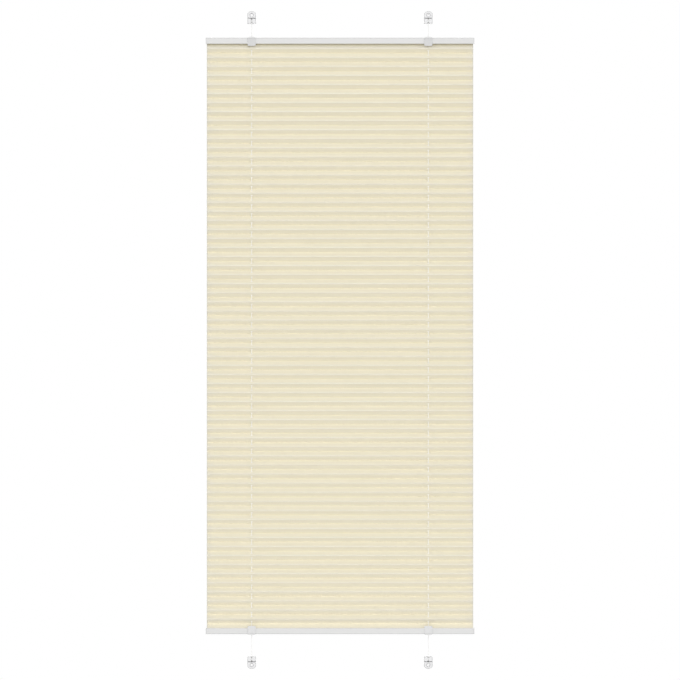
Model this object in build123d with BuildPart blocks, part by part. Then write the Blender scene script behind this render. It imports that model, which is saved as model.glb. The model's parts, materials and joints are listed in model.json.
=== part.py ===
from build123d import *
import math
import os

# Pleated blind on two tension cords, hung between four holders on a window sash.
# All sizes are in millimetres. +X runs along the rails, +Y into the window, +Z up.
# The origin is the centre of the four screw holes, on the plane of the holders' backs.

# Overall layout
cord_inset = 75.4
screw_height = 1088.8
cord_depth = 12.0
top_gap = 23.9
bottom_gap = 37.5

# Rails
rail_length = 446.8
rail_depth = 21.0
rail_height = 9.9
rail_wall = 1.1
rail_corner = 1.2
lip_thickness = 1.0
lip_width = 1.8
groove_height = 2.0
ledge_thickness = 0.8
ledge_width = 1.4

# Fabric
pleat_count = 64
pleat_panel = 20.0
fabric_thickness = 0.35
fabric_inset = 0.3
fabric_seat = 0.15
fold_inset = 0.7
cord_hole = 3.2
cord_hole_sides = 4

# Insert strips
strip_thickness = 1.2
strip_play = 0.3
strip_inset = 3.4
strip_hole = 4.0
strip_hole_sides = 8

# End caps
cap_flange = 1.6
cap_play = 0.1
peg_length = 9.0
peg_width = 3.4
hook_plate_width = 4.0
hook_plate_thickness = 1.2
hook_hole = 1.9

# Cord guides
guide_width = 13.5
guide_lip = 3.4
guide_overhang = 0.9
guide_tip = 0.8
guide_dome = 1.8
guide_rim = 0.4
guide_skirt = 3.6
guide_back = 6.0
guide_seat = 0.1
guide_corner = 1.5
stem_diameter = 7.0
stem_play = 0.1
stem_gap = 0.3
guide_bore = 2.2

# Tension holders
holder_width = 14.0
holder_length = 21.0
holder_depth = 17.5
holder_arc_rise = 4.0
holder_edge = 0.8
screw_inset = 6.7
screw_hole = 3.6
screw_head = 7.0
head_recess = 3.0
back_plate = 4.0
head_length = 11.7
tongue_root = 5.6
tongue_tip = 8.0
tongue_height = 2.6

# Cord carriers and cord locks
carrier_length = 8.7
carrier_play = 0.15
slit_width = 2.0
mouth_width = 5.0
mouth_height = 2.4
lock_pocket = 5.6
lock_floor = 2.8
lock_diameter = 5.0
lock_sides = 6
lock_height = 3.4
lock_seat = 0.05
knot_diameter = 2.8
knot_length = 2.0

# Cords
cord_diameter = 1.1
cord_play = 0.05
cord_facets = 8
turn_radius = 1.6
turn_corner = math.pi / 4
turn_reach = 20.0

# Tension springs
spring_diameter = 3.6
spring_wire = 0.7
spring_length = 36.0
ring_radius = 1.5
ring_sides = 8
ring_play = 0.15

# Heights worked out from the sizes above
holder_end_z = screw_height / 2 + screw_inset - holder_length
top_face_z = holder_end_z - top_gap - rail_height
bottom_face_z = -holder_end_z + bottom_gap + rail_height
fabric_height = top_face_z - bottom_face_z
half_pitch = fabric_height / (2 * pleat_count + 1)
pleat_depth = math.sqrt(pleat_panel**2 - half_pitch**2)

# Widths worked out from the sizes above
cord_spacing = rail_length - 2 * cord_inset
fabric_width = rail_length - 2 * fabric_inset
strip_length = rail_length - 2 * strip_inset
inner_half = rail_depth / 2 - rail_wall
slot_half = inner_half - lip_width
ledge_half = inner_half - ledge_width
chamber_floor = lip_thickness + groove_height + ledge_thickness
chamber_roof = rail_height - rail_wall
chamber_middle = (chamber_floor + chamber_roof) / 2
fold_edge = slot_half - fold_inset
cloth_level = lip_thickness + fabric_seat + fabric_thickness / 2
strip_level = lip_thickness + 2 * fabric_seat + fabric_thickness
carrier_depth = holder_depth - back_plate - carrier_play

# Distances along a rail from a cord outwards, for the spring and what it holds
ring_distance = turn_reach + spring_wire / 2 + ring_radius + ring_play
spring_start = ring_distance + ring_radius
hook_distance = spring_start + spring_length + 2 * ring_radius

# A rail is drawn with heights from its fabric face outwards: up for the top, down for the bottom
rail_ends = {"top": (top_face_z, 1), "bottom": (bottom_face_z, -1)}
sides = {"left": -1, "right": 1}


def across(face_z, out, x=0.0):
    """Plane across a rail: its x is towards the window, its y away from the fabric."""
    return Plane(origin=(x, -cord_depth, face_z), x_dir=(0, 1, 0), z_dir=(out, 0, 0))


def facing(z, out, x=0.0, y=0.0):
    """Plane that faces the room: its y is away from the fabric."""
    return Plane(origin=(x, y, z), x_dir=(out, 0, 0), z_dir=(0, -1, 0))


def level(z, out, x=0.0):
    """Plane square to the cords, on a cord's line: its z is away from the fabric."""
    return Plane(origin=(x, -cord_depth, z), x_dir=(1, 0, 0), z_dir=(0, 0, out))


def save(piece, name):
    piece.part.label = name
    export_step(piece.part, f"parts/{name}.step")


def rail(face_z, out):
    """Extruded rail: a chamber for the cords above ledges, a groove and two lips."""
    half = rail_depth / 2
    with BuildPart() as body:
        with BuildSketch(across(face_z, out)) as section:
            with BuildLine():
                Polyline(
                    (0, rail_height),
                    (half, rail_height),
                    (half, 0),
                    (slot_half, 0),
                    (slot_half, lip_thickness),
                    (inner_half, lip_thickness),
                    (inner_half, lip_thickness + groove_height),
                    (ledge_half, lip_thickness + groove_height),
                    (ledge_half, chamber_floor),
                    (inner_half, chamber_floor),
                    (inner_half, chamber_roof),
                    (0, chamber_roof),
                    close=True,
                )
            make_face()
            mirror(about=Plane.YZ)
            outer = section.vertices().sort_by(Axis.X)
            corners = [v for v in (*outer[:2], *outer[-2:]) if v.Y > rail_height / 2]
            fillet(corners, radius=rail_corner)
        extrude(amount=rail_length / 2, both=True)
        with BuildSketch(level(face_z + out * chamber_middle, out)):
            with Locations((-cord_spacing / 2, 0), (cord_spacing / 2, 0)):
                Circle(stem_diameter / 2 + stem_play)
        extrude(amount=rail_height, mode=Mode.SUBTRACT)
    return body


def end_cap(face_z, out, side, holds_spring):
    """Moulded cap: a flange with the rail's outline, two pegs and a plate for the spring."""
    end_x = side * rail_length / 2
    with BuildPart() as cap:
        with BuildSketch(across(face_z, out, end_x)) as outline:
            with Locations((0, rail_height / 2)):
                Rectangle(rail_depth, rail_height)
            fillet(outline.vertices().group_by(Axis.Y)[-1], radius=rail_corner)
        extrude(amount=side * out * cap_flange)
        peg_height = chamber_roof - chamber_floor - 2 * cap_play
        peg_centre = inner_half - cap_play - peg_width / 2
        with BuildSketch(across(face_z, out, end_x)):
            with Locations((-peg_centre, chamber_middle), (peg_centre, chamber_middle)):
                Rectangle(peg_width, peg_height)
        extrude(amount=-side * out * peg_length)
        if holds_spring:
            plate_end = hook_distance - ring_radius + spring_wire / 2 + hook_hole / 2
            plate_length = rail_length / 2 - cord_spacing / 2 - plate_end
            with BuildSketch(across(face_z, out, end_x)):
                with Locations((side * turn_radius, chamber_middle)):
                    Rectangle(hook_plate_width, hook_plate_thickness)
            extrude(amount=-side * out * plate_length)
            hole_x = side * (cord_spacing / 2 + hook_distance)
            with BuildSketch(level(face_z + out * chamber_floor, out, hole_x)):
                with Locations((0, out * side * turn_radius)):
                    Circle(hook_hole / 2)
            extrude(amount=chamber_roof - chamber_floor, mode=Mode.SUBTRACT)
    return cap


def cord_guide(face_z, out, side):
    """Clip over the rail: a domed lip above, a sloping grip in front and a bored stem."""
    x = side * cord_spacing / 2
    front = -rail_depth / 2
    roof = rail_height + guide_seat
    with BuildPart() as guide:
        with BuildSketch(across(face_z, out, x)):
            with BuildLine():
                Polyline(
                    (guide_back, roof),
                    (guide_back, rail_height + guide_dome),
                    (front - guide_lip, rail_height + guide_dome),
                    (front - guide_lip, roof - rail_wall),
                    (front - guide_lip + guide_overhang, roof - rail_wall - guide_rim),
                    (front - guide_tip, -guide_skirt),
                    (front - guide_seat, -guide_skirt),
                    (front - guide_seat, roof),
                    close=True,
                )
            make_face()
        extrude(amount=guide_width / 2, both=True)
        with BuildSketch(facing(face_z, out, x)) as outline:
            half = guide_width / 2
            with BuildLine():
                ThreePointArc(
                    (-half, roof + guide_rim),
                    (0, rail_height + guide_dome),
                    (half, roof + guide_rim),
                )
                Polyline(
                    (half, roof + guide_rim),
                    (half, -guide_skirt),
                    (-half, -guide_skirt),
                    (-half, roof + guide_rim),
                )
            make_face()
            fillet(outline.vertices().group_by(Axis.Y)[0], radius=guide_corner)
        extrude(amount=2 * (cord_depth + rail_depth), mode=Mode.INTERSECT)
        stem_end = chamber_middle + cord_diameter / 2 + stem_gap
        with BuildSketch(level(face_z + out * stem_end, out, x)):
            Circle(stem_diameter / 2)
        extrude(amount=roof - stem_end)
        with BuildSketch(level(face_z + out * chamber_floor, out, x)):
            Circle(guide_bore / 2)
        extrude(amount=rail_height, mode=Mode.SUBTRACT)
    return guide


def insert_strip(face_z, out):
    """Flat strip that clamps the end of the fabric on the rail's lips."""
    with BuildPart() as strip:
        with BuildSketch(level(face_z + out * strip_level, out)):
            Rectangle(strip_length, 2 * inner_half - strip_play)
            with Locations((-cord_spacing / 2, 0), (cord_spacing / 2, 0)):
                RegularPolygon(strip_hole / 2, strip_hole_sides, mode=Mode.SUBTRACT)
        extrude(amount=strip_thickness)
    return strip


def pleated_sheet():
    """One sheet in equal pleats, with a flat end in each rail and holes for the cords."""
    fold_shift = fabric_thickness / 2 * pleat_panel / half_pitch
    folds = [(fold_edge, top_face_z + cloth_level)]
    for k in range(1, 2 * pleat_count + 1):
        y = (pleat_depth / 2) * (-1) ** k
        folds.append((y, top_face_z - k * half_pitch))
    folds.append((-fold_edge, bottom_face_z - cloth_level))
    front = [(y - fold_shift - cord_depth, z) for y, z in folds]
    back = [(y + fold_shift - cord_depth, z) for y, z in reversed(folds)]
    flat_end = fold_edge + inner_half - strip_play
    with BuildPart() as sheet:
        with BuildSketch(Plane.YZ):
            with BuildLine():
                Polyline(*front, *back, close=True)
            make_face()
            for face_z, out in rail_ends.values():
                middle = -cord_depth + out * (fold_edge - flat_end / 2)
                with Locations((middle, face_z + out * cloth_level)):
                    Rectangle(flat_end, fabric_thickness)
        extrude(amount=fabric_width / 2, both=True)
        with BuildSketch(level(bottom_face_z - rail_height, 1)):
            with Locations((-cord_spacing / 2, 0), (cord_spacing / 2, 0)):
                RegularPolygon(cord_hole / 2, cord_hole_sides)
        extrude(amount=fabric_height + 2 * rail_height, mode=Mode.SUBTRACT)
    return sheet


def holder_base(out, side):
    """Holder: a back plate with a tongue, and a round-ended head with the screw hole."""
    x = side * cord_spacing / 2
    z = out * holder_end_z
    half = holder_width / 2
    with BuildPart() as holder:
        with BuildSketch(facing(z, out, x)):
            with BuildLine():
                Polyline(
                    (-half, holder_length - holder_arc_rise),
                    (-half, 0),
                    (half, 0),
                    (half, holder_length - holder_arc_rise),
                )
                ThreePointArc(
                    (-half, holder_length - holder_arc_rise),
                    (0, holder_length),
                    (half, holder_length - holder_arc_rise),
                )
            make_face()
        extrude(amount=holder_depth)
        with BuildSketch(facing(z, out, x, -back_plate)):
            with Locations((0, (holder_length - head_length) / 2)):
                Rectangle(holder_width, holder_length - head_length)
        extrude(amount=holder_depth, mode=Mode.SUBTRACT)
        front_face = holder.faces().sort_by(Axis.Y)[0]
        chamfer(front_face.edges(), length=holder_edge)
        with BuildSketch(level(z, out, x)):
            root = out * (cord_depth - back_plate)
            tip = root - out * tongue_height
            with BuildLine():
                Polyline(
                    (-tongue_root / 2, root),
                    (tongue_root / 2, root),
                    (tongue_tip / 2, tip),
                    (-tongue_tip / 2, tip),
                    close=True,
                )
            make_face()
        extrude(amount=holder_length - head_length)
        with Locations(facing(out * screw_height / 2, out, x, -holder_depth)):
            CounterBoreHole(screw_hole / 2, screw_head / 2, head_recess, holder_depth)
    return holder


def cord_carrier(out, side):
    """Block that slides on the holder's tongue, slit for the cord, with a lock pocket."""
    x = side * cord_spacing / 2
    z = out * holder_end_z
    with BuildPart() as carrier:
        with BuildSketch(facing(z, out, x, carrier_depth - holder_depth)):
            with Locations((0, carrier_length / 2)):
                Rectangle(holder_width, carrier_length)
        extrude(amount=carrier_depth)
        front_face = carrier.faces().sort_by(Axis.Y)[0]
        chamfer(front_face.edges(), length=holder_edge)
        with BuildSketch(level(z, out, x)):
            root = out * (cord_depth - back_plate)
            tip = root - out * (tongue_height + carrier_play)
            with BuildLine():
                Polyline(
                    (-tongue_root / 2 - carrier_play, root),
                    (tongue_root / 2 + carrier_play, root),
                    (tongue_tip / 2 + carrier_play, tip),
                    (-tongue_tip / 2 - carrier_play, tip),
                    close=True,
                )
            make_face()
        extrude(amount=carrier_length, mode=Mode.SUBTRACT)
        with BuildSketch(level(z, out, x)):
            Circle(slit_width / 2)
            with Locations((0, -out * holder_depth / 2)):
                Rectangle(slit_width, holder_depth)
        extrude(amount=carrier_length, mode=Mode.SUBTRACT)
        with BuildSketch(level(z + out * lock_floor, out, x)):
            Circle(lock_pocket / 2)
        extrude(amount=carrier_length, mode=Mode.SUBTRACT)
        with BuildSketch(facing(z, out, x, -cord_depth)):
            with BuildLine():
                Polyline(
                    (-mouth_width / 2, 0),
                    (mouth_width / 2, 0),
                    (0, mouth_height),
                    close=True,
                )
            make_face()
        extrude(amount=holder_depth, mode=Mode.SUBTRACT)
    return carrier


def cord_lock(out, side):
    """Bored six-sided barrel in the carrier's pocket, on which the cord's knot bears."""
    x = side * cord_spacing / 2
    seat_z = out * (holder_end_z + lock_floor + lock_seat)
    with BuildPart() as lock:
        with BuildSketch(level(seat_z, out, x)):
            RegularPolygon(lock_diameter / 2, lock_sides)
            bore = cord_diameter / 2 + cord_play
            RegularPolygon(bore, lock_sides, major_radius=False, mode=Mode.SUBTRACT)
        extrude(amount=lock_height)
    return lock


def tension_cord(side):
    """Cord in one line from holder to holder, with a knot on each lock."""
    x = side * cord_spacing / 2
    knot_z = holder_end_z + lock_floor + 2 * lock_seat + lock_height
    with BuildPart() as cord:
        with BuildSketch(level(-knot_z, 1, x)):
            RegularPolygon(cord_diameter / 2, cord_facets)
        extrude(amount=2 * knot_z)
        for out in sides.values():
            with BuildSketch(level(out * knot_z, out, x)):
                RegularPolygon(knot_diameter / 2, cord_facets)
            extrude(amount=knot_length)
    return cord


def crossing_cord(face_z, out, side, round_spring):
    """Cord inside a rail: from one guide, round its spring if it has one, to the other."""
    near = side * cord_spacing / 2
    turn = near + side * turn_reach
    y = side * 2 * turn_radius
    route = [(near, y), (-near, y)]
    if round_spring:
        corner = turn_radius * math.tan(turn_corner / 2)
        tip = turn + side * (turn_radius - corner)
        route = [
            (near + side * (cord_diameter + cord_play), 0),
            (tip, 0),
            (turn + side * turn_radius, y / 2 - side * corner),
            (turn + side * turn_radius, y / 2 + side * corner),
            (tip, y),
            (-near, y),
        ]
    with BuildPart() as cord:
        with BuildLine(Plane.XY.offset(face_z + out * chamber_middle)) as path:
            Polyline(*[(x, v - cord_depth) for x, v in route])
        with BuildSketch(Plane(origin=path.line @ 0, z_dir=path.line % 0)):
            RegularPolygon(cord_diameter / 2, cord_facets)
        sweep(transition=Transition.RIGHT)
    return cord


def tension_spring(face_z, out, side):
    """Close-wound spring with a ring at each end, one round the cord, one on the cap."""
    z = face_z + out * chamber_middle
    with BuildPart() as spring:
        start_x = side * (cord_spacing / 2 + spring_start)
        with BuildSketch(across(z, out, start_x)):
            with Locations((side * turn_radius, 0)):
                Circle(spring_diameter / 2)
        extrude(amount=side * out * spring_length)
        for centre in (ring_distance, hook_distance - ring_radius):
            x = side * (cord_spacing / 2 + centre)
            ring_plane = facing(z, out, x, side * turn_radius - cord_depth)
            with BuildSketch(ring_plane):
                RegularPolygon(ring_radius + spring_wire / 2, ring_sides)
                RegularPolygon(ring_radius - spring_wire / 2, ring_sides, mode=Mode.SUBTRACT)
            extrude(amount=spring_wire / 2, both=True)
    return spring


os.makedirs("parts", exist_ok=True)

save(pleated_sheet(), "pleated_fabric")

for end, (face_z, out) in rail_ends.items():
    has_springs = end == "top"
    save(rail(face_z, out), f"{end}_rail")
    save(insert_strip(face_z, out), f"{end}_insert_strip")
    for hand, side in sides.items():
        save(end_cap(face_z, out, side, has_springs), f"{end}_{hand}_end_cap")
        save(cord_guide(face_z, out, side), f"{end}_{hand}_cord_guide")
        save(crossing_cord(face_z, out, side, has_springs), f"{end}_{hand}_crossing_cord")
        save(holder_base(out, side), f"{end}_{hand}_holder")
        save(cord_carrier(out, side), f"{end}_{hand}_cord_carrier")
        save(cord_lock(out, side), f"{end}_{hand}_cord_lock")
        if has_springs:
            save(tension_spring(face_z, out, side), f"{hand}_tension_spring")

for hand, side in sides.items():
    save(tension_cord(side), f"{hand}_tension_cord")
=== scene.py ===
import json
import math

import bmesh
import bpy
from mathutils import Matrix, Vector

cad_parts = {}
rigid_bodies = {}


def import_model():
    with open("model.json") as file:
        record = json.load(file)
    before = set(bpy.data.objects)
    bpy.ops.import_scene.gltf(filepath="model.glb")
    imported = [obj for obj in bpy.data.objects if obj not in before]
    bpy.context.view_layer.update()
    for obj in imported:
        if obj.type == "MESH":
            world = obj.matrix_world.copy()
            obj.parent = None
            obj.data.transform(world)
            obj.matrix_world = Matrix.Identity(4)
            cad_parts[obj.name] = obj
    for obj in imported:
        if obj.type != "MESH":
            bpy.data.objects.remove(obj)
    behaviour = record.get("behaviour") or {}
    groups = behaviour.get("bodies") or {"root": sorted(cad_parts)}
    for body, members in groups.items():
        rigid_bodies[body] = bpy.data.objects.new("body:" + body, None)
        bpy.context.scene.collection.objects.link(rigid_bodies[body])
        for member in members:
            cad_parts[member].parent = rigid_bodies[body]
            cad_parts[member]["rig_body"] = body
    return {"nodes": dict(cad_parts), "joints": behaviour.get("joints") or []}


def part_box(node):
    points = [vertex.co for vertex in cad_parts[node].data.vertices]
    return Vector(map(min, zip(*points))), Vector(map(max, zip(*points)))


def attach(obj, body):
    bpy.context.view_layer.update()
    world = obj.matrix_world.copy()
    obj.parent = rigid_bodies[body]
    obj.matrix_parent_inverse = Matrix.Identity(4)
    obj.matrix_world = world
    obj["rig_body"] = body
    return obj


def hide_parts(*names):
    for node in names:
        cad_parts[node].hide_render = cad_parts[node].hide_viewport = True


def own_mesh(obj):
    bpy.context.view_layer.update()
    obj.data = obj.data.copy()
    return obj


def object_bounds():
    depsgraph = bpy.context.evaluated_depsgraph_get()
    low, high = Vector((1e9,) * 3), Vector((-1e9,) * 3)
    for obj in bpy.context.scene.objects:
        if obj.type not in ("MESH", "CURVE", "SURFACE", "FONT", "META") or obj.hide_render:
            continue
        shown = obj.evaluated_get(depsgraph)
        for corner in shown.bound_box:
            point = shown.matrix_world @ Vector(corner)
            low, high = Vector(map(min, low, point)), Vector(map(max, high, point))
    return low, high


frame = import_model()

cad_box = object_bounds()

# Sizes of the blind, in metres. +X runs along the rails, +Y into the window, +Z up
SIDES = {"left": -1, "right": 1}
ENDS = {"top": 1, "bottom": -1}

top_face_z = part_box("top_rail")[0].z
bottom_face_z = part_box("bottom_rail")[1].z
rail_front_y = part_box("top_rail")[0].y
cord_low, cord_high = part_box("right_tension_cord")
cord_x = (cord_low.x + cord_high.x) / 2
cord_y = (cord_low.y + cord_high.y) / 2
fabric_low, fabric_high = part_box("pleated_fabric")

# Fabric
PLEATS = 64
PANEL = 0.020
CLOTH_THICKNESS = 0.00035
CLOTH_WIDTH = fabric_high.x - fabric_low.x
PANELS = 2 * PLEATS + 1
MIDDLE_FOLD = PLEATS
HALF_PITCH = (top_face_z - bottom_face_z) / PANELS
PLEAT_DEPTH = math.sqrt(PANEL**2 - HALF_PITCH**2)
FOLD_RADIUS = 0.0004
HOLE_RADIUS = 0.0017
# Width of the band of painted shade along the cloth's cut edges
EDGE_SHADE_BAND = 0.0012
UNEVENNESS = 0.00015
SEED = 3.0
# The sheet's two ends lie flat inside the rails
END_LEVEL = fabric_high.z - CLOTH_THICKNESS / 2 - top_face_z
END_FOLD_Y = 0.0069
END_STRIP = 0.0160

# Cords
CORD_RADIUS = 0.00055
KNOT_RADIUS = 0.0014
KNOT_LENGTH = 0.0020
KNOT_TURNS = 2

# Springs
WIRE_RADIUS = 0.00035
RING_RADIUS = 0.0015


class Signal:
    """A socket whose Python operators add Math nodes."""

    def __init__(self, sheet, socket):
        self.sheet = sheet
        self.socket = socket

    def _maths(self, operation, *values, clamp=False):
        values = [v.socket if isinstance(v, Signal) else v for v in values]
        return self.sheet.node("ShaderNodeMath", dict(operation=operation, use_clamp=clamp), *values)

    def __add__(self, other):
        return self._maths("ADD", self, other)

    def __sub__(self, other):
        return self._maths("SUBTRACT", self, other)

    def __rsub__(self, other):
        return self._maths("SUBTRACT", other, self)

    def __mul__(self, other):
        return self._maths("MULTIPLY", self, other)

    def __truediv__(self, other):
        return self._maths("DIVIDE", self, other)

    __radd__ = __add__

    def sine(self):
        return self._maths("SINE", self)

    def absolute(self):
        return self._maths("ABSOLUTE", self)

    def fraction(self):
        return self._maths("FRACT", self)

    def rounded(self):
        return self._maths("ROUND", self)

    def at_least(self, floor):
        return self._maths("MAXIMUM", self, floor)

    def at_most(self, ceiling):
        return self._maths("MINIMUM", self, ceiling)

    def angle_from(self, other):
        return self._maths("ARCTAN2", self, other)

    def root(self):
        return self._maths("SQRT", self)

    def clamped(self):
        return self._maths("ADD", self, 0.0, clamp=True)


class NodeSheet:
    """A node tree, shader or geometry, with one method that adds any node."""

    prefix = "ShaderNode"

    def __init__(self, tree):
        self.tree = tree

    def node(self, kind, settings, *inputs, out=0, **named):
        """Add a node: settings first, then sockets in order or by name. Return an output."""
        name = kind if "Node" in kind else self.prefix + kind
        made = self.tree.nodes.new(name)
        for key, value in settings.items():
            setattr(made, key, value)
        wanted = list(enumerate(inputs)) + [(k.replace("_", " "), v) for k, v in named.items()]
        for key, value in wanted:
            if value is None:
                continue
            socket = made.inputs[key]
            source = value.socket if isinstance(value, Signal) else value
            if isinstance(source, bpy.types.NodeSocket):
                self.tree.links.new(source, socket)
            else:
                socket.default_value = source
        return Signal(self, made.outputs[out]) if made.outputs else made

    def split(self, vector):
        """The three parts of a vector, as signals."""
        parts = self.node("ShaderNodeSeparateXYZ", {}, vector).socket.node.outputs
        return [Signal(self, part) for part in parts]

    def point(self, x, y, z):
        return self.node("ShaderNodeCombineXYZ", {}, x, y, z)


class Finish(NodeSheet):
    """A material on a Principled surface, painted by patterns in Object or UV coordinates."""

    def __init__(self, name, **fixed):
        self.material = bpy.data.materials.new(name)
        self.material.use_nodes = True
        super().__init__(self.material.node_tree)
        self.surface = self.tree.nodes["Principled BSDF"]
        for key, value in fixed.items():
            self.surface.inputs[key.replace("_", " ")].default_value = value

    def place(self):
        return self.node("TexCoord", {}, out="Object")

    def cloth_place(self, name):
        return self.node("UVMap", dict(uv_map=name))

    def stretched(self, where, scale):
        return self.node("Mapping", {}, Vector=where, Scale=scale)

    def noise(self, where, scale, detail=2.0):
        return self.node("TexNoise", {}, Vector=where, Scale=scale, Detail=detail)

    def blend(self, share, low, high):
        """Mix two colours, each a triple or a signal, by a share from 0 to 1."""
        mixer = self.tree.nodes.new("ShaderNodeMix")
        mixer.data_type = "RGBA"
        factor, colour_a, colour_b = mixer.inputs[0], mixer.inputs[6], mixer.inputs[7]
        self.tree.links.new(share.socket, factor)
        for socket, value in ((colour_a, low), (colour_b, high)):
            if isinstance(value, Signal):
                self.tree.links.new(value.socket, socket)
            else:
                socket.default_value = (*value, 1.0)
        return Signal(self, mixer.outputs[2])

    def feed(self, **sockets):
        for key, value in sockets.items():
            self.tree.links.new(value.socket, self.surface.inputs[key.replace("_", " ")])

    def relief(self, height, depth):
        bump = self.node("Bump", {}, Height=height, Distance=depth, Strength=1.0)
        self.tree.links.new(bump.socket, self.surface.inputs["Normal"])


# Light
AMBIENT = 0.45
FRONT_LIGHT = 2.1
BACK_LIGHT = 1.2
SUN_RISE = 6.0
SUN_SPREAD = 40.0
OVERHEAD_LIGHT = 14.0
OVERHEAD_SIZE = 3.0
OVERHEAD_PLACE = (0, -1.2, 3.0)

# Colours are linear
FLOOR_PALE = (0.95, 0.95, 0.95)
FLOOR_SHADE = (0.93, 0.93, 0.93)
CREAM_LIGHT = (0.886, 0.851, 0.730)
CREAM_DARK = (0.847, 0.807, 0.682)
# Painted shade along the cloth's cut edges
PAINTED_EDGE_SHADE = (0.70, 0.69, 0.62)
RAIL_WHITE = (0.585, 0.585, 0.58)
RAIL_SHADE = (0.555, 0.555, 0.55)
MOULDED_WHITE = (0.55, 0.55, 0.55)
MOULDED_SHADE = (0.51, 0.51, 0.51)
HOLDER_PALE = (0.62, 0.62, 0.625)
HOLDER_SHADE = (0.57, 0.57, 0.575)
LOCK_WHITE = (0.84, 0.84, 0.835)
LOCK_SHADE = (0.78, 0.78, 0.775)
STRIP_PALE = (0.68, 0.67, 0.62)
STRIP_SHADE = (0.62, 0.61, 0.56)
# The cords' darker tone is painted shade between the braid's strands, mixed with fibre tone
CORD_WHITE = (0.95, 0.945, 0.93)
CORD_SHADE = (0.84, 0.835, 0.82)
WIRE_BRIGHT = (0.62, 0.62, 0.63)
WIRE_DARK = (0.42, 0.42, 0.44)

# Materials. The scales of noise are in waves a metre: the higher, the finer


def pleated_cloth():
    """Fine plain weave on the flat cloth's own coordinates, with slubs, crease wear and painted shade
    along the folds, and painted shade along the cut edges.
    """
    thread_wave = 2600.0 * math.pi
    slub_coarse, slub_fine, cloud_scale = 60.0, 1900.0, 14.0
    crease_start, crease_fade = 0.93, 14.0
    edge_shade_share = 0.7
    finish = Finish("pleated_cloth", Sheen_Weight=0.18, Sheen_Roughness=0.5)
    flat = finish.cloth_place("cloth")
    across, along, _ = finish.split(flat)
    weave = (across * thread_wave).sine() * (along * thread_wave).sine()
    slub_across = finish.noise(finish.stretched(flat, (slub_coarse, slub_fine, 1.0)), 1.0)
    slub_along = finish.noise(finish.stretched(flat, (slub_fine, slub_coarse, 1.0)), 1.0)
    slubs = (slub_across + slub_along) * 0.5
    cloudy = finish.noise(flat, cloud_scale, detail=3.0)
    # A darker line along every fold, partly crease wear and partly painted shade
    crease = ((along * (1 / PANEL)).fraction() - 0.5).absolute() * 2
    crease_wear_and_shade = ((crease - crease_start) * crease_fade).clamped()
    tone = (slubs * 0.7 + cloudy * 0.3 + weave * 0.06 - crease_wear_and_shade * 0.05).clamped()
    # Painted shade: the colour turns darker over a narrow band along both cut edges
    to_edge = across.absolute() - (CLOTH_WIDTH / 2 - EDGE_SHADE_BAND)
    edge_shade = (to_edge * (2 / EDGE_SHADE_BAND)).clamped() * edge_shade_share
    cream = finish.blend(tone, CREAM_DARK, CREAM_LIGHT)
    finish.feed(Base_Color=finish.blend(edge_shade, cream, PAINTED_EDGE_SHADE), Roughness=0.78 + slubs * 0.14)
    finish.relief(weave * 0.5 + slubs, depth=0.00006)
    return finish.material


def powder_coat():
    """Satin powder coat: a fine even orange peel, with a faint drift along the rail."""
    peel_scale = 900.0
    drift_along, drift_across = 6.0, 60.0
    finish = Finish("rail_coating", Specular_IOR_Level=0.45)
    place = finish.place()
    peel = finish.noise(place, peel_scale)
    drift = finish.noise(finish.stretched(place, (drift_along, drift_across, drift_across)), 1.0)
    finish.feed(Base_Color=finish.blend(drift, RAIL_SHADE, RAIL_WHITE), Roughness=0.36 + peel * 0.16)
    finish.relief(peel, depth=0.00004)
    return finish.material


def moulded(name, pale, shade, gloss):
    """Moulded plastic with a faintly grained, slightly uneven skin."""
    grain_scale, flow_scale = 2600.0, 120.0
    finish = Finish(name, Specular_IOR_Level=0.5)
    place = finish.place()
    grain = finish.noise(place, grain_scale)
    flow = finish.noise(place, flow_scale, detail=3.0)
    finish.feed(Base_Color=finish.blend(flow, shade, pale), Roughness=gloss + grain * 0.12)
    finish.relief(grain + flow * 0.5, depth=0.00002)
    return finish.material


def straight_cord_braid():
    """Braid of the two upright cords, on each cord's own centre line, with painted shade between the
    strands.
    """
    strands = 8.0
    pitch = 0.0042
    fibre_scale = 5200.0
    finish = Finish("cord_braid", Roughness=0.7, Sheen_Weight=0.15)
    place = finish.place()
    x, y, z = finish.split(place)
    round_cord = (y - cord_y).angle_from(x.absolute() - cord_x) * (strands / 2)
    climb = z * (4 * math.pi / pitch)
    right = (round_cord + climb).sine()
    left = (round_cord - climb).sine()
    plait_and_groove_shade = right.absolute().at_least(left.absolute())
    fibre = finish.noise(place, fibre_scale)
    # The colour darkens between the strands: painted shade, with random fibre tone
    tone = (plait_and_groove_shade * 0.75 + fibre * 0.3 - 0.1).clamped()
    finish.feed(Base_Color=finish.blend(tone, CORD_SHADE, CORD_WHITE))
    finish.relief(plait_and_groove_shade + fibre * 0.2, depth=0.00008)
    return finish.material


def hidden_cord_braid():
    """Braid of the runs inside the rails, which lie along X, with painted shade between the strands."""
    pitch = 0.0021
    strand_wave = 2 * math.pi / pitch
    finish = Finish("crossing_braid", Roughness=0.7, Sheen_Weight=0.15)
    x, y, _ = finish.split(finish.place())
    right = ((x + y) * strand_wave).sine()
    left = ((x - y) * strand_wave).sine()
    plait_and_groove_shade = right.absolute().at_least(left.absolute())
    # The colour darkens between the strands: painted shade
    finish.feed(Base_Color=finish.blend(plait_and_groove_shade, CORD_SHADE, CORD_WHITE))
    finish.relief(plait_and_groove_shade, depth=0.00008)
    return finish.material


def spring_wire():
    """Drawn steel wire with fine lengthwise marks."""
    marks_along, marks_across = 400.0, 3000.0
    finish = Finish("spring_steel", Metallic=1.0)
    place = finish.stretched(finish.place(), (marks_along, marks_across, marks_across))
    marks = finish.noise(place, 1.0)
    finish.feed(Base_Color=finish.blend(marks, WIRE_DARK, WIRE_BRIGHT), Roughness=0.22 + marks * 0.2)
    finish.relief(marks, depth=0.00001)
    return finish.material


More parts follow.
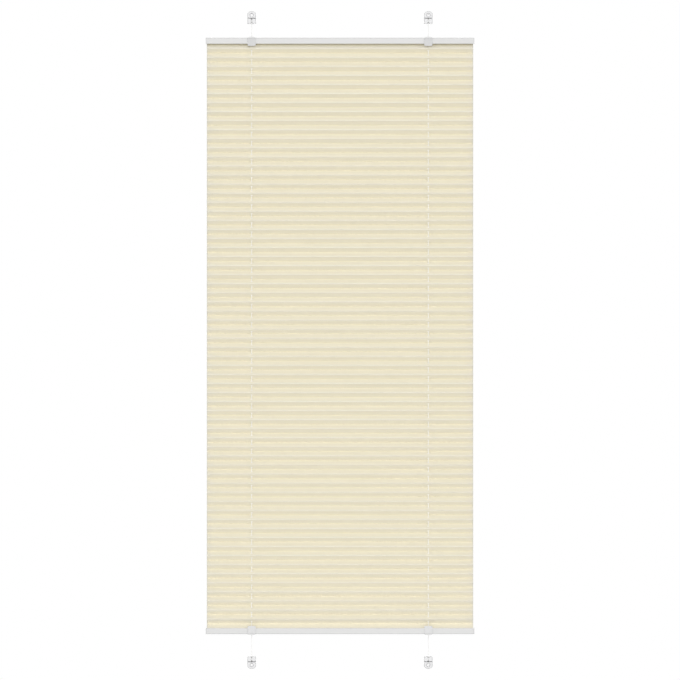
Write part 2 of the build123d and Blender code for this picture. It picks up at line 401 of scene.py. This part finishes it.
CLOTH = pleated_cloth()
COATING = powder_coat()
CAP_SKIN = moulded("cap_plastic", MOULDED_WHITE, MOULDED_SHADE, 0.36)
GUIDE_SKIN = moulded("guide_plastic", MOULDED_WHITE, MOULDED_SHADE, 0.32)
HOLDER_SKIN = moulded("holder_plastic", HOLDER_PALE, HOLDER_SHADE, 0.3)
LOCK_SKIN = moulded("lock_plastic", LOCK_WHITE, LOCK_SHADE, 0.4)
STRIP_SKIN = moulded("strip_plastic", STRIP_PALE, STRIP_SHADE, 0.45)
CORD_BRAID = straight_cord_braid()
CROSSING_BRAID = hidden_cord_braid()
WIRE = spring_wire()


def show(name, mesh, material=None):
    """Put a mesh in the scene as an object at the origin."""
    piece = bpy.data.objects.new(name, mesh)
    bpy.context.scene.collection.objects.link(piece)
    if material:
        mesh.materials.clear()
        mesh.materials.append(material)
    return piece


def settled(piece):
    """Turn a piece with its modifiers into a plain mesh."""
    graph = bpy.context.evaluated_depsgraph_get()
    bpy.context.view_layer.update()
    mesh = bpy.data.meshes.new_from_object(piece.evaluated_get(graph))
    piece.modifiers.clear()
    piece.data = mesh


def as_mesh(shape, name):
    """Turn a bmesh into a mesh and free it."""
    mesh = bpy.data.meshes.new(name)
    shape.to_mesh(mesh)
    shape.free()
    return mesh


def circle(facets):
    """Angles evenly round a circle."""
    return [2 * math.pi * i / facets for i in range(facets)]


def punched_hole(shape, border, centre):
    """Fill a square patch, given by its eight border points, up to a round hole in its middle."""
    ring = 2 * len(border)
    hole = []
    for turn in circle(ring):
        offset = Vector((math.sin(turn), 0, math.cos(turn))) * HOLE_RADIUS
        hole.append(shape.verts.new(centre + offset))
    for i, corner in enumerate(border):
        following = border[(i + 1) % len(border)]
        before, nearest, after = hole[2 * i - 1], hole[2 * i], hole[(2 * i + 1) % ring]
        shape.faces.new((corner, nearest, before))
        shape.faces.new((corner, after, nearest))
        shape.faces.new((corner, following, after))


def cloth_strip(name, holes_at, rows):
    """Flat cloth in the XZ plane, hanging from z = 0, with round holes punched for the cords."""
    patch = 0.005
    column_step = 0.012
    columns = {cord_x}
    for low, high in ((0.0, cord_x - patch), (cord_x + patch, CLOTH_WIDTH / 2)):
        count = round((high - low) / column_step)
        columns.update(low + (high - low) * i / count for i in range(count + 1))
    columns = sorted({round(s * x, 7) for x in columns for s in (-1, 1)})
    rows = sorted({*rows, holes_at - patch, holes_at, holes_at + patch})
    shape = bmesh.new()
    grid = [[shape.verts.new((x, 0, -t)) for x in columns] for t in rows]
    middle = rows.index(holes_at)
    hubs = [columns.index(min(columns, key=lambda x: abs(x - s * cord_x))) for s in (-1, 1)]
    for r in range(len(rows) - 1):
        for c in range(len(columns) - 1):
            if r in (middle - 1, middle) and any(c in (hub - 1, hub) for hub in hubs):
                continue
            shape.faces.new((grid[r][c], grid[r][c + 1], grid[r + 1][c + 1], grid[r + 1][c]))
    around = [(0, 1), (1, 1), (1, 0), (1, -1), (0, -1), (-1, -1), (-1, 0), (-1, 1)]
    for hub in hubs:
        border = [grid[middle - up][hub + right] for right, up in around]
        shape.verts.remove(grid[middle][hub])
        punched_hole(shape, border, Vector((columns[hub], 0, -holes_at)))
    bmesh.ops.recalc_face_normals(shape, faces=shape.faces)
    return as_mesh(shape, name)


def fold_rows():
    """Distances down one panel where the cloth gets an edge, close together at the folds."""
    near = [0.0, 0.00025, 0.0006, 0.0012, 0.0025]
    return {*near, *(PANEL - t for t in near)}


class Shaping(NodeSheet):
    """A Geometry Nodes group with named inputs."""

    prefix = "GeometryNode"

    def __init__(self, name):
        group = bpy.data.node_groups.new(name, "GeometryNodeTree")
        super().__init__(group)
        group.interface.new_socket("Geometry", in_out="OUTPUT", socket_type="NodeSocketGeometry")
        self.entry = group.nodes.new("NodeGroupInput")

    def size(self, name, kind="Float"):
        self.tree.interface.new_socket(name, in_out="INPUT", socket_type="NodeSocket" + kind)
        return Signal(self, self.entry.outputs[name])

    def finish(self, geometry, material):
        dressed = self.node("SetMaterial", {}, geometry, Material=material)
        self.node("NodeGroupOutput", {}, dressed)

    def apply_to(self, piece, **values):
        modifier = piece.modifiers.new(self.tree.name, "NODES")
        modifier.node_group = self.tree
        for item in self.tree.interface.items_tree:
            if item.in_out == "INPUT":
                modifier[item.identifier] = values[item.name.replace(" ", "_")]


def pleating():
    """Set flat panels end to end and fold them into pleats between two levels."""
    same_spot = 0.00001
    ripple_across, ripple_down, calm_share = 9.0, 0.83, 0.25
    fold = Shaping("pleating")
    panel = fold.size("Panel", "Object")
    count = fold.size("Panels", "Int")
    first = fold.size("First Fold", "Int")
    last = fold.size("Last Fold", "Int")
    length = fold.size("Panel Length")
    pitch = fold.size("Half Pitch")
    depth = fold.size("Pleat Depth")
    radius = fold.size("Fold Radius")
    level = fold.size("Top Level")
    middle = fold.size("Middle Y")
    end_fold = fold.size("End Fold Y")
    end_rise = fold.size("End Rise")
    wave = fold.size("Wave")
    seed = fold.size("Seed")

    step = fold.point(0.0, 0.0, length * -1.0)
    line = fold.node("MeshLine", dict(mode="OFFSET"), count, Offset=step)
    source = fold.node("ObjectInfo", {}, panel, out="Geometry")
    panels = fold.node("InstanceOnPoints", {}, line, Instance=source)
    sheet = fold.node("RealizeInstances", {}, panels)
    sheet = fold.node("MergeByDistance", {}, sheet, Distance=same_spot)

    # The flat sheet's own coordinates, kept for the cloth's pattern
    x, _, z = fold.split(fold.node("InputPosition", {}))
    along = z * -1.0
    flat = fold.point(x, along + first * length, 0.0)
    stored = dict(data_type="FLOAT2", domain="CORNER")
    sheet = fold.node("StoreNamedAttribute", stored, sheet, None, "cloth", flat)

    # Travel counts folds down the sheet. Even folds point to the back, odd ones to the front
    travel = along / length + first
    nearest = travel.rounded()
    from_fold = (travel - nearest) * length
    side = (nearest * math.pi + math.pi / 2).sine()
    soft = (from_fold * from_fold + radius * radius).root() - radius
    reach = depth / length
    into_top = (1.0 - travel).at_least(0.0)
    into_bottom = (travel - (last - 1.0)).at_least(0.0)
    short = depth / 2 - end_fold
    y = side * (depth / 2 - soft * reach) - into_top * short + into_bottom * short
    height = level - travel * pitch + (into_top - into_bottom) * end_rise

    # A slight unevenness, which fades out at both ends and at the middle fold
    spot = fold.point(x * ripple_across, travel * ripple_down, seed)
    cloud = fold.node("ShaderNodeTexNoise", {}, spot, out="Color", Scale=1.0, Detail=1.0)
    stir_y, stir_z, _ = fold.split(cloud)
    free = (travel * calm_share).at_most(1.0) * ((last - travel) * calm_share).at_most(1.0)
    middle_fold = (last - 1.0) * 0.5
    calm = ((travel - middle_fold).absolute() * calm_share).at_most(1.0)
    ease = free * calm * wave
    moved = fold.point(x, middle + y + (stir_y - 0.5) * ease, height + (stir_z - 0.5) * ease)
    sheet = fold.node("SetPosition", {}, sheet, Position=moved)
    fold.finish(sheet, CLOTH)
    return fold


def thicken(piece, thickness):
    """Give a sheet its thickness, half on each side."""
    wall = piece.modifiers.new("thickness", "SOLIDIFY")
    wall.thickness = thickness
    wall.offset = 0.0
    wall.use_even_offset = True


def smooth(mesh, angle=40.0):
    """Shade a mesh smooth, apart from edges sharper than an angle in degrees."""
    mesh.shade_smooth()
    mesh.set_sharp_from_angle(angle=math.radians(angle))


def folded_cloth():
    """The pleated sheet in two runs, parted at its middle fold, both riding with the fixed parts."""
    panel = show("cloth_panel", cloth_strip("cloth_panel", PANEL / 2, fold_rows()))
    tree = pleating()
    runs = {
        "upper_pleats": (0, MIDDLE_FOLD, "top_rail", top_face_z),
        "lower_pleats": (MIDDLE_FOLD, PANELS - MIDDLE_FOLD, "bottom_rail", bottom_face_z),
    }
    middle_z = top_face_z - MIDDLE_FOLD * HALF_PITCH
    for name, (first, count, rail, far) in runs.items():
        piece = show(name, bpy.data.meshes.new(name))
        tree.apply_to(
            piece, Panel=panel, Panels=count, First_Fold=first, Last_Fold=PANELS,
            Panel_Length=PANEL, Half_Pitch=HALF_PITCH, Pleat_Depth=PLEAT_DEPTH, Fold_Radius=FOLD_RADIUS,
            Top_Level=top_face_z, Middle_Y=cord_y, End_Fold_Y=END_FOLD_Y, End_Rise=END_LEVEL,
            Wave=UNEVENNESS, Seed=SEED,
        )
        thicken(piece, CLOTH_THICKNESS)
        settled(piece)
        smooth(piece.data, angle=60.0)
        joint = f"{rail}_slide"
        travel = next(j["range_m"][1] for j in frame["joints"] if j["name"] == joint)
        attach(piece, "fixed_parts")
        1 - travel / abs(far - middle_z)
        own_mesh(piece)
        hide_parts("pleated_fabric")
    bpy.data.objects.remove(panel)


def cloth_ends():
    """The sheet's two flat ends, each inside its rail."""
    for end, out in ENDS.items():
        mesh = cloth_strip(f"{end}_cloth_end", END_STRIP / 2, (0.0, END_STRIP))
        piece = show(f"{end}_cloth_end", mesh, CLOTH)
        flat = mesh.attributes.new("cloth", "FLOAT2", "CORNER")
        for loop in mesh.loops:
            flat.data[loop.index].vector = mesh.vertices[loop.vertex_index].co.xz
        face_z = top_face_z if out > 0 else bottom_face_z
        level = face_z + out * END_LEVEL
        turn = Matrix.Rotation(math.radians(90), 4, "X")
        mesh.transform(Matrix.Translation((0, cord_y - END_STRIP / 2, level)) @ turn)
        thicken(piece, CLOTH_THICKNESS)
        settled(piece)
        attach(piece, "upper_carriage" if out > 0 else "lower_carriage")
        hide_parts("pleated_fabric")


def tube(points, radius, facets):
    """A round tube through points, its rings square to the path."""
    shape = bmesh.new()
    rings = []
    count = len(points)
    normal = None
    for i, point in enumerate(points):
        ahead = (points[min(i + 1, count - 1)] - points[max(i - 1, 0)]).normalized()
        if normal is None:
            helper = Vector((0, 1, 0)) if abs(ahead.y) < 0.9 else Vector((1, 0, 0))
            normal = ahead.cross(helper).normalized()
        normal = (normal - ahead * normal.dot(ahead)).normalized()
        beside = ahead.cross(normal)
        spokes = [math.cos(turn) * normal + math.sin(turn) * beside for turn in circle(facets)]
        rings.append([shape.verts.new(point + radius * spoke) for spoke in spokes])
    for low, high in zip(rings, rings[1:]):
        for k in range(facets):
            shape.faces.new((low[k], low[(k + 1) % facets], high[(k + 1) % facets], high[k]))
    shape.faces.new(list(reversed(rings[0])))
    shape.faces.new(rings[-1])
    bmesh.ops.recalc_face_normals(shape, faces=shape.faces)
    return shape


def joined(shapes, name):
    """One mesh of several shapes."""
    whole = bmesh.new()
    for shape in shapes:
        part = as_mesh(shape, "part")
        whole.from_mesh(part)
        bpy.data.meshes.remove(part)
    return as_mesh(whole, name)


def upright_cords():
    """Each upright cord with a wound knot at both ends."""
    cord_facets, knot_facets, wraps = 16, 10, 20
    coil = KNOT_RADIUS - CORD_RADIUS
    rise = KNOT_LENGTH - 2 * CORD_RADIUS
    steps = KNOT_TURNS * wraps
    for hand, side in SIDES.items():
        low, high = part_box(f"{hand}_tension_cord")
        x = side * cord_x
        ends = (low.z + CORD_RADIUS, high.z - CORD_RADIUS)
        shapes = [tube([Vector((x, cord_y, z)) for z in ends], CORD_RADIUS, cord_facets)]
        for out, end_z in ((1, high.z), (-1, low.z)):
            knot = []
            for i in range(steps + 1):
                turn = 2 * math.pi * i / wraps
                z = end_z - out * (CORD_RADIUS + rise * i / steps)
                knot.append(Vector((x + coil * math.cos(turn), cord_y + coil * math.sin(turn), z)))
            shapes.append(tube(knot, CORD_RADIUS, knot_facets))
        piece = show(f"{hand}_cord", joined(shapes, f"{hand}_cord"), CORD_BRAID)
        smooth(piece.data)
        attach(piece, "fixed_parts")
        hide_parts(f"{hand}_tension_cord")


def tension_springs():
    """Close-wound springs with a ring at each end, each in its own box."""
    wraps, wire_facets = 12, 6
    for hand in SIDES:
        low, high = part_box(f"{hand}_tension_spring")
        middle = (low + high) / 2
        coil = (high.z - low.z) / 2 - WIRE_RADIUS
        start = low.x + 2 * (RING_RADIUS + WIRE_RADIUS)
        wound = high.x - low.x - 4 * (RING_RADIUS + WIRE_RADIUS)
        steps = int(wound / (2 * WIRE_RADIUS)) * wraps
        helix = []
        for i in range(steps + 1):
            turn = 2 * math.pi * i / wraps
            x = start + wound * i / steps
            helix.append(Vector((x, middle.y + coil * math.cos(turn), middle.z + coil * math.sin(turn))))
        shapes = [tube(helix, WIRE_RADIUS, wire_facets)]
        for centre in (low.x + RING_RADIUS + WIRE_RADIUS, high.x - RING_RADIUS - WIRE_RADIUS):
            ring = []
            for i in range(2 * wraps + 1):
                turn = math.pi * i / wraps
                x = centre + RING_RADIUS * math.cos(turn)
                ring.append(Vector((x, middle.y + RING_RADIUS * math.sin(turn), middle.z)))
            shapes.append(tube(ring, WIRE_RADIUS, wire_facets))
        piece = show(f"{hand}_spring", joined(shapes, f"{hand}_spring"), WIRE)
        smooth(piece.data)
        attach(piece, "upper_carriage")
        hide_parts(f"{hand}_tension_spring")


# Finishes of the moulded and extruded parts, by the end of the node's name
FINISHES = {
    "rail": COATING,
    "insert_strip": STRIP_SKIN,
    "end_cap": CAP_SKIN,
    "cord_guide": GUIDE_SKIN,
    "holder": HOLDER_SKIN,
    "cord_carrier": HOLDER_SKIN,
    "cord_lock": LOCK_SKIN,
    "crossing_cord": CROSSING_BRAID,
    "tension_spring": WIRE,
}
# Rounding of the edges of what is moulded or extruded, in metres
ROUNDED = {
    "rail": 0.0002,
    "end_cap": 0.0003,
    "cord_guide": 0.0004,
    "holder": 0.0002,
    "cord_carrier": 0.00025,
}


def rounded_copy(node, part, material, radius):
    """The node's own shape with its edges rounded, riding where the node does."""
    same_spot, flat_angle, edge_angle = 1e-6, 0.1, 35.0
    shape = bmesh.new()
    shape.from_mesh(part.data)
    bmesh.ops.remove_doubles(shape, verts=shape.verts, dist=same_spot)
    flat = math.radians(flat_angle)
    bmesh.ops.dissolve_limit(shape, angle_limit=flat, verts=shape.verts, edges=shape.edges)
    mesh = as_mesh(shape, f"{node}_rounded")
    smooth(mesh, edge_angle)
    piece = show(f"{node}_rounded", mesh, material)
    edge = piece.modifiers.new("edges", "BEVEL")
    edge.width = radius
    edge.segments = 2
    edge.limit_method = "ANGLE"
    edge.angle_limit = math.radians(edge_angle)
    flats = piece.modifiers.new("flats", "WEIGHTED_NORMAL")
    flats.keep_sharp = True
    settled(piece)
    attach(piece, part["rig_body"])
    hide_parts(node)
    return piece


def finished_parts():
    """Every CAD node gets its finish, and those with moulded or extruded edges a rounded copy."""
    for node, part in frame["nodes"].items():
        for ending, material in FINISHES.items():
            if node.endswith(ending):
                part.data.materials.clear()
                part.data.materials.append(material)
                if ending in ROUNDED:
                    rounded_copy(node, part, material, ROUNDED[ending])


def floor_disc():
    """A plain pale floor under the blind, which casts no shadow on it."""
    drop, radius, tone_scale = 0.25, 3.0, 1.5
    disc = bmesh.new()
    bmesh.ops.create_circle(disc, cap_ends=True, segments=96, radius=radius)
    mesh = as_mesh(disc, "floor")
    mesh.transform(Matrix.Translation((0, 0, cad_box[0].z - drop)))
    pale = Finish("studio_floor", Roughness=0.9, Specular_IOR_Level=0.1)
    tone = pale.noise(pale.place(), tone_scale)
    pale.feed(Base_Color=pale.blend(tone, FLOOR_SHADE, FLOOR_PALE))
    floor = show("floor", mesh, pale.material)
    floor.visible_shadow = False


def surroundings():
    """White to the camera, dimmer and even as a light."""
    world = bpy.data.worlds.new("studio")
    world.use_nodes = True
    sky = NodeSheet(world.node_tree)
    background = world.node_tree.nodes["Background"]
    seen = sky.node("LightPath", {}, out="Is Camera Ray")
    strength = seen * (1.0 - AMBIENT) + AMBIENT
    world.node_tree.links.new(strength.socket, background.inputs["Strength"])
    background.inputs["Color"].default_value = (1.0, 1.0, 1.0, 1.0)
    bpy.context.scene.world = world
    bpy.context.scene.view_settings.view_transform = "Standard"


def lamps():
    """A broad low light in front, a weaker one behind and a soft one above."""
    rise = math.radians(SUN_RISE)
    for name, strength, towards in (("front", FRONT_LIGHT, 1), ("back", BACK_LIGHT, -1)):
        sun = bpy.data.lights.new(name, "SUN")
        sun.energy = strength
        sun.angle = math.radians(SUN_SPREAD)
        lamp = bpy.data.objects.new(name, sun)
        ray = Vector((0, towards * math.cos(rise), -math.sin(rise)))
        lamp.rotation_euler = ray.to_track_quat("-Z", "Y").to_euler()
        bpy.context.scene.collection.objects.link(lamp)

    area = bpy.data.lights.new("overhead", "AREA")
    area.size = OVERHEAD_SIZE
    area.energy = OVERHEAD_LIGHT
    lamp = bpy.data.objects.new("overhead", area)
    lamp.location = OVERHEAD_PLACE
    lamp.rotation_euler = (-lamp.location).to_track_quat("-Z", "Y").to_euler()
    bpy.context.scene.collection.objects.link(lamp)


def camera():
    """Long lens straight in front of the blind, framed as the photograph is."""
    frame_pixels = 680
    metres_per_pixel = 0.001675
    distance = 20.0
    lens = bpy.data.cameras.new("camera")
    lens.sensor_width = 36.0
    lens.lens = lens.sensor_width * distance / (frame_pixels * metres_per_pixel)
    lens.clip_end = 200.0
    eye = bpy.data.objects.new("camera", lens)
    eye.location = (0, rail_front_y - distance, 0)
    eye.rotation_euler = (math.radians(90), 0, 0)
    bpy.context.scene.collection.objects.link(eye)
    bpy.context.scene.camera = eye


folded_cloth()
cloth_ends()
upright_cords()
tension_springs()
finished_parts()
floor_disc()
surroundings()
lamps()
camera()
